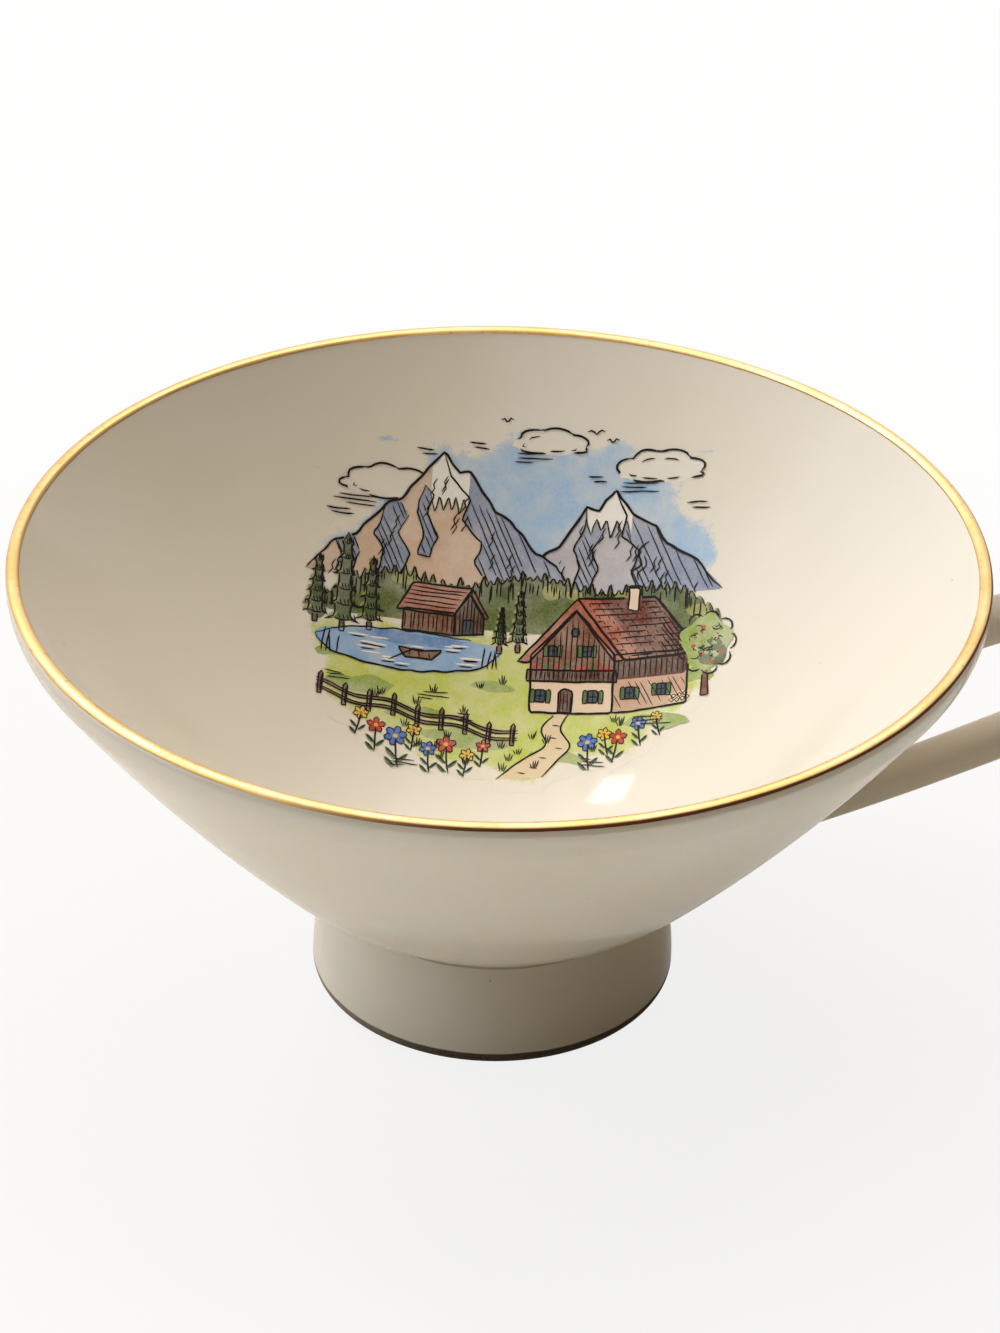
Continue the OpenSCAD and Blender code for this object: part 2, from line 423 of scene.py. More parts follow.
def outsideGap(points):  # distance from the bowl's outside face, above 0 outside it
    flat = np.column_stack([np.hypot(points[:, 0], points[:, 1]), points[:, 2]])
    a = np.arctan2(flat[:, 1] - bottomC[1], flat[:, 0])
    low = np.hypot(*(flat - bottomC).T) - bottomR
    wall = np.hypot(*(flat - outerC).T) - wallR
    return np.where(a < outerLowA, low, wall)


def insideGap(points):  # distance from the bowl's inside face and the way into the clay
    out = np.hypot(points[:, 0], points[:, 1])
    flat = np.column_stack([out, points[:, 2]])
    low = np.arctan2(flat[:, 1] - bottomC[1], flat[:, 0]) < innerLowA
    away = flat - np.where(low[:, None], bottomC, innerC)
    length = np.hypot(*away.T)
    gap = np.where(low, floorR, wallR) - length
    away = away / length[:, None]
    turn = points[:, :2] / np.maximum(out, 1e-9)[:, None]
    return gap, np.column_stack([turn * away[:, :1], away[:, 1]])


glazed = porcelain("glazedPorcelain")
lit = porcelain("thinPorcelain", thin=porcelainLook["thin"])  # light comes through to the outside
section = outsideLine() + [at(rimR, lipC[1])] + lipLine()[1:] + insideLine()[1:]
section[0], section[-1] = at(0, bowl["lift"]), at(0, bottomC[1] - floorR)
points, faces = lathe(section, bowl["sides"], False)
shell = addPiece("cupBowl", points, faces, [glazed, lit], ["bowl"])
outerFaces = (len(outsideLine()) - 2) * bowl["sides"]
for face in shell.data.polygons[:outerFaces]:
    face.material_index = 1


# foot

foot = {
    "d": 32.4, "bulgeR": 26.0, "edgeR": 1.2, "ringW": 2.2, "draft": 6.0, "innerEdgeR": 0.5,
    "bareBelow": 1.4, "slipT": 0.4, "filletL": 0.35, "sides": 200,
}
footR = foot["d"] / 2
edgeC = at(footR - foot["edgeR"], foot["edgeR"])
bulgeC = at(footR - foot["bulgeR"], foot["edgeR"])
ringR = footR - foot["edgeR"] - foot["ringW"]
neck = circlesMeet(bottomC, bottomR + foot["slipT"], bulgeC, foot["bulgeR"], True)
wallA = heading(bulgeC, neck)


def slipFace(r, skin):  # height of the bowl's round bottom, with a skin, at a radius
    return bottomC[1] - sqrt((bottomR + skin) ** 2 - r ** 2)


def hollowR(z):
    return ringR - z * tan(radians(foot["draft"]))


hollowTop = slipFace(hollowR(neck[1]), foot["slipT"])
seatR = hollowR(hollowTop)
seat = [at(r, slipFace(r, foot["slipT"])) for r in np.linspace(neck[0], seatR, 8)[1:]]
innerEdgeC = at(ringR + foot["innerEdgeR"], foot["innerEdgeR"])
section = arc(edgeC, foot["edgeR"], down, 0, 12)
section += arc(bulgeC, foot["bulgeR"], 0, wallA, 24)[1:] + seat
section += [at(hollowR(z), z) for z in np.linspace(hollowTop, foot["innerEdgeR"], 14)[1:]]
section += arc(innerEdgeC, foot["innerEdgeR"], pi, 1.5 * pi, 6)[1:]
points, faces = lathe(section, foot["sides"], True)
footGlaze = porcelain("footPorcelain", foot["bareBelow"])
addPiece("cupFoot", points, faces, [footGlaze], ["foot"])

# slip that sticks the foot to the bowl, smoothed to a fillet outside and wiped inside
filletA = wallA - foot["filletL"] / foot["bulgeR"]
bowlSide = np.linspace(seatR - foot["filletL"], neck[0] + foot["filletL"], 14)
section = [at(r, slipFace(r, 0)) for r in bowlSide]
section += fillet(section[-1], neck, bulgeC + foot["bulgeR"] * toward(filletA), 10)[1:]
section += arc(bulgeC, foot["bulgeR"], filletA, wallA, 4)[1:] + seat
section += [at(hollowR(z), z) for z in np.linspace(hollowTop, hollowTop - foot["filletL"], 4)[1:]]
section += fillet(section[-1], at(seatR, hollowTop), section[0], 8)[1:-1]
points, faces = lathe(section[::-1], foot["sides"], True)
slipGlaze = porcelain("slipPorcelain", creaseShadeAt=neck[1] - 0.05)
addPiece("footSlip", points, faces, [slipGlaze], ["foot_joint"])


# handle

handle = {
    "reach": 18.67, "lowZ": 14.9, "topZ": 35.6, "drop": 0.5, "lowT": 2.8, "topT": 3.6, "w": 4.7,
    "bendR": 4.9, "lowRootRise": 19.0, "lowBendRise": 27.0, "topRootRise": 14.0, "topBendRise": 21.0,
    "flare": 0.3, "flareL": 5.0, "power": 2.5, "slipT": 0.4, "filletL": 0.7, "cornerSkin": 0.02,
    "cornerLift": 0.03, "sides": 56, "rings": 130,
}
meanT = (handle["lowT"] + handle["topT"]) / 2
bendC = at(rimR + handle["reach"], bowl["cupH"] - handle["drop"]) - meanT / 2 - handle["bendR"]


def outsideR(z):
    if z < bottomC[1] + bottomR * sin(outerLowA):
        return sqrt(bottomR ** 2 - (z - bottomC[1]) ** 2)
    return outerC[0] + sqrt(wallR ** 2 - (z - outerC[1]) ** 2)


def smoothCurve(p, pA, q, qA, steps):
    k = np.linalg.norm(q - p) / 3
    c1, c2 = p + k * toward(pA), q - k * toward(qA)
    return [(1 - t) ** 3 * p + 3 * (1 - t) ** 2 * t * c1 + 3 * (1 - t) * t ** 2 * c2 + t ** 3 * q
            for t in np.linspace(0, 1, steps + 1)]


rises = ("lowRootRise", "lowBendRise", "topRootRise", "topBendRise")
lowRootA, lowBendA, topRootA, topBendA = (radians(handle[key]) for key in rises)
rootDepth = handle["topT"]
lowRoot = at(outsideR(handle["lowZ"]), handle["lowZ"]) - rootDepth * toward(lowRootA)
topRoot = at(outsideR(handle["topZ"]), handle["topZ"]) - rootDepth * toward(topRootA)
bendStart, bendEnd = lowBendA - pi / 2, topBendA + pi / 2
bend = arc(bendC, handle["bendR"], bendStart, bendEnd, 60)
lowArm = smoothCurve(lowRoot, lowRootA, bend[0], lowBendA, 80)
topArm = smoothCurve(bend[-1], topBendA + pi, topRoot, topRootA + pi, 60)
line = np.array(lowArm + bend[1:] + topArm[1:])
run = lengths(line)
total = run[-1]


def rounded(v):
    return np.sign(v) * np.abs(v) ** (2 / handle["power"])


def handleSkin(s, a, skin=0.0):  # point on the handle at run s and angle a round its section
    s = np.asarray(s, float)
    x, z = pointsAt(line, run, s).T
    dx, dz = slope(line, run, s, 0.05)
    fromEnd = np.minimum(s, total - s) - rootDepth
    grow = 1 + handle["flare"] * np.maximum(0, 1 - np.maximum(0, fromEnd) / handle["flareL"]) ** 2
    t = handle["lowT"] + (handle["topT"] - handle["lowT"]) * s / total
    up = (t / 2 * grow + skin) * rounded(np.cos(a))
    side = (handle["w"] / 2 * grow + skin) * rounded(np.sin(a))
    return np.column_stack([x - up * dz, side, z + up * dx])


def crossing(angles, skin, lift, fromTop):  # run at which each long line of the handle meets the bowl
    inside = np.full(len(angles), total if fromTop else 0.0)
    outside = np.full(len(angles), total - 3 * rootDepth if fromTop else 3 * rootDepth)
    for _ in range(50):  # halves the stretch each time
        middle = (inside + outside) / 2
        out = outsideGap(handleSkin(middle, angles, skin)) > lift
        outside, inside = np.where(out, middle, outside), np.where(out, inside, middle)
    return (inside + outside) / 2


angles = around(handle["sides"])
starts, ends = (crossing(angles, 0, handle["slipT"], fromTop) for fromTop in (False, True))
shares = np.linspace(0, 1, handle["rings"])
points = np.vstack([handleSkin(starts + (ends - starts) * f, angles) for f in shares])
faces = [face[::-1] for face in ringFaces(handle["rings"], handle["sides"], False)]
sides, last = handle["sides"], (handle["rings"] - 1) * handle["sides"]
points = np.vstack([points, points[:sides].mean(0), points[last:].mean(0)])
faces += [(len(points) - 2, j, (j + 1) % sides) for j in range(sides)]
faces += [(len(points) - 1, last + (j + 1) % sides, last + j) for j in range(sides)]
addPiece("cupHandle", points, faces, [glazed], ["handle"])

for name, node, fromTop in (("lowerHandleSlip", "handle_lower_joint", False),
                            ("upperHandleSlip", "handle_upper_joint", True)):
    filletL = handle["filletL"]
    atSlip = ends if fromTop else starts
    atWall = crossing(angles, 0, 0.0, fromTop)
    onArm = handleSkin(atSlip + (-filletL if fromTop else filletL), angles)
    onBowl = handleSkin(crossing(angles, filletL, 0.0, fromTop), angles, filletL)
    skin = handle["cornerSkin"]
    corner = handleSkin(crossing(angles, skin, handle["cornerLift"], fromTop), angles, skin)
    rings = fillet(onArm, corner, onBowl, 8)
    rings += [handleSkin(atWall, angles), handleSkin(atSlip, angles)]
    faces = ringFaces(len(rings), sides, True)
    if not fromTop:
        faces = [face[::-1] for face in faces]
    addPiece(name, np.vstack(rings), faces, [glazed], [node])


# gold line round the lip

gold = {
    "thick": 0.085, "outside": 0.33, "inside": 0.3, "waver": 0.1, "taper": 0.12,
    "sunk": 0.01, "stops": 34, "sides": 360, "seed": 4,
}
# the section's line from the outside up, over the lip and down the inside
spine = outsideLine((4, 4, 40))[9:] + [at(rimR, lipC[1])] + lipLine(40)[1:]
spine = np.array(spine + insideLine((160, 4))[1:80])
way = lengths(spine)
top = int(np.argmax(spine[:, 1]))
outerEdge = np.interp(bowl["cupH"] - gold["outside"], spine[:top, 1], way[:top])
innerEdge = np.interp(gold["inside"] - bowl["cupH"], -spine[top:, 1], way[top:])
rings = []
for t in around(gold["sides"]):
    spot = Vector((cos(t) * 2.2, sin(t) * 2.2, gold["seed"]))
    outerHand = noise.noise(spot) * 0.7 + noise.noise(spot * 5) * 0.3
    innerHand = noise.noise(spot + Vector((9, 3, 1))) * 0.7 + noise.noise(spot * 6 + Vector((2, 8, 5))) * 0.3
    low, high = outerEdge + gold["waver"] * outerHand, innerEdge + gold["waver"] * innerHand
    s = np.linspace(low, high, gold["stops"])
    r, z = pointsAt(spine, way, s).T
    dr, dz = slope(spine, way, s, 0.02)
    edge = np.minimum(s - low, high - s)
    thick = gold["thick"] * np.minimum(1, edge / gold["taper"]) ** 0.5
    over = np.column_stack([r + dz * thick, z - dr * thick])
    under = np.column_stack([r - dz * gold["sunk"], z + dr * gold["sunk"]])[::-1]
    loop = np.vstack([over, under])
    rings.append(np.column_stack([loop[:, 0] * cos(t), loop[:, 0] * sin(t), loop[:, 1]]))
faces = [face[::-1] for face in ringFaces(len(rings), 2 * gold["stops"], True)]
gilt = brightGold("brightGold", *np.interp((outerEdge, innerEdge), way, spine[:, 0]))
addPiece("goldLine", np.vstack(rings), faces, [gilt], ["rim_gilding"])


# picture transfer: a pen-and-wash view of a farm by a lake, drawn in mm on the plane through its middle

picture = {
    "z": 23.0, "turn": 86.0, "grid": 0.85, "seed": 11,
    "edge": 0.008, "first": 0.006, "layer": 0.0085, "ink": 0.092,  # heights of the layers above the glaze
}
paints = {  # colour, and how much glaze shows through it
    "sky": ("#a3c6ea", 0.55), "paper": ("#f0eadf", 0.0), "farRock": ("#b9b6c4", 0.35),
    "rock": ("#d8b9a2", 0.4), "shade": ("#8f9ab8", 0.35), "snow": ("#f6f3ee", 0.1),
    "wood": ("#5b6b35", 0.3), "meadow": ("#c6d35c", 0.5), "grass": ("#93ac4a", 0.45),
    "lake": ("#7fb0e4", 0.4), "lakeDeep": ("#4f86cc", 0.4), "path": ("#e6cfa6", 0.4),
    "plaster": ("#ecd3bb", 0.2), "plasterShade": ("#cda68c", 0.3), "timber": ("#7c4a30", 0.3),
    "timberShade": ("#5a3425", 0.25), "roof": ("#6e2f22", 0.3), "roofLight": ("#a9553d", 0.35),
    "fir": ("#4a6136", 0.25), "firLight": ("#93993f", 0.4), "window": ("#3c4658", 0.1),
    "shutter": ("#4d7040", 0.15), "red": ("#c43c2c", 0.15), "blue": ("#3f6fc4", 0.15),
    "yellow": ("#e8bf3a", 0.15),
}
pictureR = innerC[0] + sqrt(wallR ** 2 - (picture["z"] - innerC[1]) ** 2)
tilt = heading(innerC, (pictureR, picture["z"]))
turn = radians(picture["turn"])
upright = np.array([0, 0, 1])
outward = np.array([cos(turn), sin(turn), 0])
intoHollow = -(cos(tilt) * outward + sin(tilt) * upright)
upSlope = -sin(tilt) * outward + cos(tilt) * upright
rightward = np.array([sin(turn), -cos(turn), 0])
middle = pictureR * outward + picture["z"] * upright
art = {"flat": [], "lift": [], "colour": [], "faces": []}
strokes = []
chance = random.Random(picture["seed"]).uniform


def onWall(flat, lift):  # from the drawing plane straight onto the inside wall
    flat = np.asarray(flat, float)
    points = middle + flat[:, :1] * rightward + flat[:, 1:2] * upSlope + 10 * intoHollow
    for _ in range(70):  # each step leaves less of the gap
        points = points - intoHollow * insideGap(points)[0][:, None]
    return points - insideGap(points)[1] * np.asarray(lift)[:, None]


def shaky(points, amount, size):  # a hand-drawn line: points moved by smooth noise
    seed = chance(0, 100)
    moved = []
    for x, y in np.asarray(points, float):
        place = Vector((x / size, y / size, seed))
        moved.append((x + amount * noise.noise(place), y + amount * noise.noise(place + Vector((31, 7, 3)))))
    return np.array(moved)


def resample(points, gap, closed=False):
    points = np.asarray(points, float)
    if closed:
        points = np.vstack([points, points[:1]])
    d = lengths(points)
    count = max(13 if closed else 2, ceil(d[-1] / gap) + 1)
    made = pointsAt(points, d, np.linspace(0, d[-1], count))
    return made[:-1] if closed else made


def flowing(points, closed=False, steps=8):  # a smooth curve through the points
    p = [np.array(q, float) for q in points]
    n = len(p)
    made = []
    for i in range(n if closed else n - 1):
        a, b, c, d = ((p[(i + k) % n] if closed else p[min(max(i + k, 0), n - 1)]) for k in (-1, 0, 1, 2))
        for t in np.arange(steps) / steps:
            made.append(0.5 * (2 * b + (c - a) * t + (2 * a - 5 * b + 4 * c - d) * t ** 2
                               + (3 * b - a - 3 * c + d) * t ** 3))
    if not closed:
        made.append(p[-1])
    return np.array(made)


def within(points, polygon):
    x, y = points[:, 0], points[:, 1]
    hit = np.zeros(len(points), bool)
    for (ax, ay), (bx, by) in zip(polygon, np.roll(polygon, -1, 0)):
        crosses = (ay > y) != (by > y)
        hit ^= crosses & (x < (bx - ax) * (y - ay) / (by - ay + 1e-12) + ax)
    return hit


def nearest(points, line):  # distance from each point to the line's nearest point
    return np.hypot(*(points[:, None] - line[None]).transpose(2, 0, 1)).min(1)


def wash(points, paint, layer, shake=0.0, size=1.5, soft=0.0):
    grid = picture["grid"]
    edge = resample(points, grid * 0.8, True)
    if shake:
        edge = shaky(edge, shake, size)
    xs, ys = (np.arange(low + grid / 2, high, grid) for low, high in zip(edge.min(0), edge.max(0)))
    spots = np.array([(x, y) for x in xs for y in ys]).reshape(-1, 2)
    spots = spots[within(spots, edge)]
    spots = spots[nearest(spots, edge) > grid * 0.35]  # those too near the edge make slivers
    every = [Vector(p) for p in np.vstack([edge, spots])]
    made = delaunay_2d_cdt(every, [], [list(range(len(edge)))], 1, 1e-5, False)
    flat = np.array([tuple(v) for v in made[0]])
    inner = np.ones(len(flat))
    if soft:  # a soft edge runs out into the bare glaze
        inner = np.minimum(1, nearest(flat, edge) / soft)
    start = len(art["flat"])
    code, thin = paints[paint]
    art["flat"] += flat.tolist()
    height = picture["first"] + layer * picture["layer"]
    art["lift"] += (picture["edge"] + height * np.minimum(1, inner * 2)).tolist()
    art["colour"] += [(*linear(code), thin + (transferLook["runOut"] - thin) * (1 - f)) for f in inner]
    corners = flat[np.array(made[2])]
    (ax, ay), (bx, by), (cx, cy) = corners.transpose(1, 2, 0)
    keep = within(corners.mean(1), edge) & (np.abs((bx - ax) * (cy - ay) - (by - ay) * (cx - ax)) > 1e-5)
    art["faces"] += [tuple(start + i for i in f) for f, kept in zip(made[2], keep) if kept]


def pen(points, width=0.26, shake=0.1, ends=0.35, flow=False):
    points = resample(flowing(points) if flow else points, 0.4)
    points = shaky(points, shake, 1.3)
    n = len(points)
    d = np.gradient(points, axis=0)
    d /= np.maximum(np.hypot(*d.T), 1e-9)[:, None]
    t = np.linspace(0, 1, n)
    press = ends + (1 - ends) * np.minimum(1, np.minimum(t, 1 - t) * 6) ** 0.7
    seed = chance(0, 100)
    press *= np.array([1 + 0.25 * noise.noise(Vector((i * 0.5, seed, 0))) for i in range(n)])
    side = np.column_stack([-d[:, 1], d[:, 0]]) * (width / 2 * press)[:, None]
    strokes.append((points, side))


def clear(*shapes):  # takes away the strokes behind a nearer thing
    for shape in shapes:
        kept = []
        for points, side in strokes:
            free = ~within(points, np.asarray(shape, float))
            for part in np.split(np.arange(len(points)), np.flatnonzero(np.diff(free)) + 1):
                if free[part[0]] and len(part) > 1:
                    kept.append((points[part], side[part]))
        strokes[:] = kept


def outline(points, width=0.26, shake=0.08):
    points = list(map(tuple, points))
    pen(points + points[:1], width, shake, 0.8)


def inked(points, paint, layer, width, shake=0.08):  # a wash with a pen line round it
    wash(points, paint, layer)
    outline(points, width, shake)


def oval(x, y, rx, ry, turns, lean=0.0):
    c, s = cos(lean), sin(lean)
    return [(x + rx * cos(t) * c - ry * sin(t) * s, y + rx * cos(t) * s + ry * sin(t) * c)
            for t in turns]


def oblong(left, low, right, high):
    return [(left, low), (right, low), (right, high), (left, high)]


def dab(x, y, rx, ry, paint, layer, lean=0.0, shake=0.0, soft=0.0):
    wash(oval(x, y, rx, ry, around(14), lean), paint, layer, shake, soft=soft)


def hatch(shape, angle, gap, width=0.12, keep=0.9):  # strokes across a shape, broken here and there
    c, d = cos(radians(angle)), sin(radians(angle))
    shape = np.asarray(shape, float)
    turned = np.column_stack([shape[:, 0] * c + shape[:, 1] * d, shape[:, 1] * c - shape[:, 0] * d])
    for y in np.arange(turned[:, 1].min() + gap * 0.6, turned[:, 1].max(), gap):
        y += chance(-0.2, 0.2) * gap
        cuts = sorted(ax + (y - ay) / (by - ay) * (bx - ax)
                      for (ax, ay), (bx, by) in zip(turned, np.roll(turned, -1, 0)) if (ay > y) != (by > y))
        for left, right in zip(cuts[::2], cuts[1::2]):
            left, right = left + chance(0.05, 0.3), right - chance(0.05, 0.45)
            if right - left > 0.45 and chance(0, 1) < keep:
                pen([(x * c - y * d, x * d + y * c) for x in (left, right)], width, 0.07)


# sky and clouds
skyEdge = [(-19.4, 1), (-18.8, 5), (-15.6, 7.6), (-16.2, 10.4), (-11.4, 11.9), (-10.4, 15.0), (-4.6, 15.6),
           (-0.4, 18.2), (5.6, 17.0), (9.2, 17.6), (12.6, 14.4), (15.2, 13.2), (16.4, 9.2), (19.2, 7.4),
           (18.6, 1.5), (0, 0)]
wash(flowing(skyEdge, True), "sky", 0, 0.9, 1.7, 2.4)
for x, y, w in ((-17.8, 10.6, 2.0), (16.2, 14.4, 1.8), (-12.8, 14.4, 1.5), (18.4, 10.0, 1.2)):
    dab(x, y, w, 0.6, "sky", 0, 0.1, 0.3, 0.5)


def cloud(x, y, w, h, lumps, gapLumps):
    def edge(t):
        swell = 1 + 0.2 * abs(sin(t * lumps / 2)) ** 0.75
        return (x + w * cos(t) * swell, y + h * sin(t) * swell * (1 if sin(t) > 0 else 0.4))
    wash([edge(t) for t in around(89)], "paper", 1, 0.15)
    for k in range(lumps):
        a, b = 2 * pi * k / lumps, 2 * pi * (k + 1) / lumps
        if k not in gapLumps:
            pen([edge(t) for t in np.linspace(a + 0.06, b + 0.1, 14)], 0.21)
        if k in gapLumps or chance(0, 1) < 0.3:
            curl = [edge(t) for t in np.linspace(a + 0.2, b - 0.1, 10)]
            pen([(x + 0.72 * (px - x), y + 0.62 * (py - y)) for px, py in curl], 0.14, 0.08)
    for k in range(3):
        left, low = x - w * chance(0.9, 1.3), y - h * 0.5 - 0.4 * k
        pen([(left, low), (left + w * chance(0.5, 1.1), low)], 0.14, 0.06)


cloud(-12.4, 9.4, 3.9, 2.0, 9, (5, 7))
cloud(12.6, 12.3, 3.6, 1.9, 8, (4, 6))
cloud(2.2, 14.6, 3.1, 1.5, 7, (3, 5))
for x, y, w in ((-16.9, 7.0, 2.2), (-4.6, 14.6, 1.6), (16.2, 9.4, 1.9), (6.6, 11.9, 1.5), (-9.4, 13.6, 1.6)):
    for k in range(2):
        low = y - 0.45 * k
        pen([(x - w / 2 + 0.5 * k, low), (x + w / 2 + 0.3 * k, low + chance(-0.1, 0.1))], 0.16)
for x, y, w in ((6.4, 15.9, 0.8), (8.0, 15.1, 0.6), (-2.0, 16.7, 0.6)):  # birds
    wings = ((-1, 0.25), (-0.45, 0.35), (0, 0), (0.45, 0.42), (1, 0.3))
    pen([(x + dx * w, y + dy) for dx, dy in wings], 0.17, 0.04, flow=True)

# mountains, light from the left
farRidge = [(-1, 1.0), (2.2, 4.4), (3.6, 5.2), (6.0, 9.0), (7.0, 8.6), (8.6, 10.8), (10.2, 8.4), (12.4, 7.2),
            (13.6, 5.6), (16.4, 4.0), (18.9, 1.0)]
nearRidge = [(-19.4, 0.8), (-17.0, 4.0), (-15.2, 4.8), (-12.6, 8.0), (-11.4, 8.6), (-8.6, 12.4),
             (-7.6, 13.4), (-6.2, 11.6), (-5.2, 11.9), (-2.6, 8.2), (-1.0, 7.4), (1.4, 4.4), (3.4, 3.4),
             (5.0, 1.0)]
farFacets = (
    farRidge[5:] + [(11.2, 0.8), (10.4, 3.0), (11.2, 4.8), (9.4, 6.4), (9.7, 8.2)],
    farRidge[3:5] + [(7.6, 6.8), (6.6, 5.0), (7.4, 3.0), (6.4, 1.0), (4.8, 1.0), (5.6, 3.2), (4.9, 5.0),
                     (5.9, 6.8)],
)
nearFacets = (
    nearRidge[6:] + [(-2.5, 0.8), (-4.2, 3.2), (-3.6, 5.2), (-5.6, 7.2), (-5.0, 9.2), (-6.9, 11.2)],
    nearRidge[3:5] + [(-10.5, 7.2), (-11.4, 5.4), (-10.2, 3.4), (-11.0, 1.2), (-13.0, 1.0), (-12.6, 3.6),
                      (-13.6, 5.2), (-12.9, 6.8)],
    nearRidge[1:3] + [(-14.6, 3.2), (-15.4, 1.0), (-16.8, 1.0), (-16.3, 2.8)],
    [(-9.2, 10.2), (-8.4, 9.2), (-8.9, 7.4), (-7.8, 5.4), (-8.4, 3.4), (-9.6, 3.6), (-9.0, 5.6),
     (-9.9, 7.6)],
)


def mountain(ridge, body, layer, facets, snowLine):
    wash(ridge, body, layer, 0.1)
    clear(ridge)
    for facet in facets:
        wash(facet, "shade", layer + 1, 0.12)
    snow = [p for p in ridge if p[1] > snowLine]
    first, last = snow[0][0], snow[-1][0]
    drip = [(last - (last - first) * f, snowLine - (0.1 if i % 2 else 1.2 + chance(0, 0.8)))
            for i, f in enumerate(np.linspace(0, 1, 10))]
    wash(snow + drip, "snow", layer + 2, 0.1)
    pen(drip, 0.13, 0.12)
    pen(ridge, 0.24, 0.2)
    for facet in facets:
        low = [p for p in facet if p not in ridge]
        pen([facet[0]] + low[::-1], 0.16, 0.2)
        hatch([(x, min(y, snowLine)) for x, y in facet], -64, 0.5, 0.1, 0.8)
    for x, y in ridge[1:-1]:  # cracks in the light faces
        for k in range(2):
            cx, cy = x + chance(-0.4, 0.9), y - chance(1.2, 4.5)
            crack = [(cx, cy), (cx - 0.35, cy - 0.6), (cx - 0.2, cy - 1.0), (cx - 0.6, cy - 1.6)]
            if cy > 1.2:
                pen(crack, 0.12, 0.12)


mountain(farRidge, "farRock", 1, farFacets, 8.0)
mountain(nearRidge, "rock", 2, nearFacets, 9.4)

# woods at the foot of the mountains, running out at both ends
tops, x = [], -19.2
while x < 18.8:
    depth = 3.6 * (1 - abs(x / 19.4) ** 5) + 0.6 * sin(x * 0.45 + 1)
    tall = chance(0.4, 1.3) * (1 if abs(x) < 16 else 0.5)
    y = -2.4 + max(0.1, depth)
    tops += [(x, y), (x + 0.3, y + tall), (x + 0.6, y + 0.1)]
    x += chance(0.62, 0.95)
woods = tops + [(19.2, -2.7), (8, -3.4), (-6, -2.9), (-19.6, -2.7)]
wash(woods, "wood", 5, 0.12)
clear(woods)
for x, y in tops[4::9]:
    w, h = chance(0.7, 1.2), chance(0.5, 0.8)
    dab(x, y - 1.4, w, h, "fir" if chance(0, 1) < 0.6 else "firLight", 5.6, 0.0, 0.3)
pen(tops, 0.15, 0.06)
for x, y in tops[1::3]:
    for k in range(2):
        cx, cy = x + chance(-0.35, 0.35), y - chance(0.3, 0.9)
        pen([(cx, cy), (cx + chance(-0.08, 0.08), max(-2.6, cy - chance(0.7, 2.0)))], 0.13, 0.07)

# meadow
meadowEdge = [(-20.6, -3.4), (-15, -2.2), (-8, -2.2), (0, -2.7), (9, -2.4), (16, -2.2), (20.4, -3.6),
              (19.6, -6.4), (17.9, -10.2), (14.2, -12.8), (10.5, -16.0), (6, -16.4), (1.5, -18.8),
              (-3.5, -17.2), (-8.2, -17.6), (-12.6, -14.4), (-17.2, -12.2), (-18.8, -7.4)]
wash(flowing(meadowEdge, True), "meadow", 4, 0.9, 1.6, 1.8)
for x, y, w, h in ((-14, -9.4, 3.4, 0.7), (-4, -13.6, 4.4, 0.8), (13.6, -11.4, 3.2, 0.7),
                   (4.6, -15.0, 2.8, 0.6), (-8.8, -11.4, 2.8, 0.5), (17.0, -7.2, 1.9, 0.6),
                   (-16.6, -6.9, 1.6, 0.5), (-1.6, -8.4, 2.2, 0.5)):
    dab(x, y, w, h, "grass", 5, chance(-0.08, 0.08), 0.5)
for x, y, w in ((-15.2, -8.6, 3.0), (-6.6, -9.4, 3.4), (-3.4, -11.2, 2.6), (13.2, -11.0, 3.6),
                (8.4, -15.0, 2.6), (-9.4, -16.2, 2.8)):
    for k in range(3):
        left, low = x - w / 2 + chance(-0.4, 0.6), y - 0.32 * k
        pen([(left, low), (left + w * chance(0.35, 0.9), low + chance(-0.12, 0.12))], 0.11, 0.08)

# lake with a rowing boat
lakeEdge = [(-18.0, -5.2), (-15.0, -4.1), (-9.4, -3.8), (-4.0, -4.2), (-1.2, -5.2), (-2.8, -6.6),
            (-7.4, -7.5), (-12.4, -7.4), (-16.6, -6.6)]
lakeDeep = [(-14.6, -4.3), (-9.4, -4.0), (-4.6, -4.4), (-7.0, -5.1), (-11.6, -5.0)]
wash(flowing(lakeEdge, True), "lake", 6, 0.25)
wash(flowing(lakeDeep, True), "lakeDeep", 6.6, 0.2)
pen(lakeEdge[4:] + lakeEdge[:1], 0.19, 0.2, flow=True)
pen(lakeEdge[:4], 0.13, 0.15, flow=True)
for _ in range(18):
    x, y = chance(-15.0, -3.8), chance(-7.0, -4.4)
    dab(x, y, chance(0.5, 1.2), 0.08, "snow", 7.4)
    if chance(0, 1) < 0.75:
        pen([(x - 0.7, y - 0.22), (x + 0.6, y - 0.22)], 0.12, 0.05)
inked([(-10.6, -5.4), (-10.0, -6.3), (-7.6, -6.35), (-6.6, -5.3), (-8.6, -5.6)], "timber", 8, 0.18)
for x in (-9.6, -8.7, -7.8):
    pen([(x, -5.6), (x + 0.08, -6.2)], 0.13)
pen([(-9.2, -5.4), (-11.4, -6.7)], 0.15)
for x in (-17.4, -17.0, -16.6, -16.1, -2.9, -2.4, -1.9, -1.5):  # reeds
    pen([(x, -6.7 - abs(x) * 0.01), (x + chance(-0.3, 0.3), -4.9 + chance(-0.3, 0.5))], 0.14, 0.08)

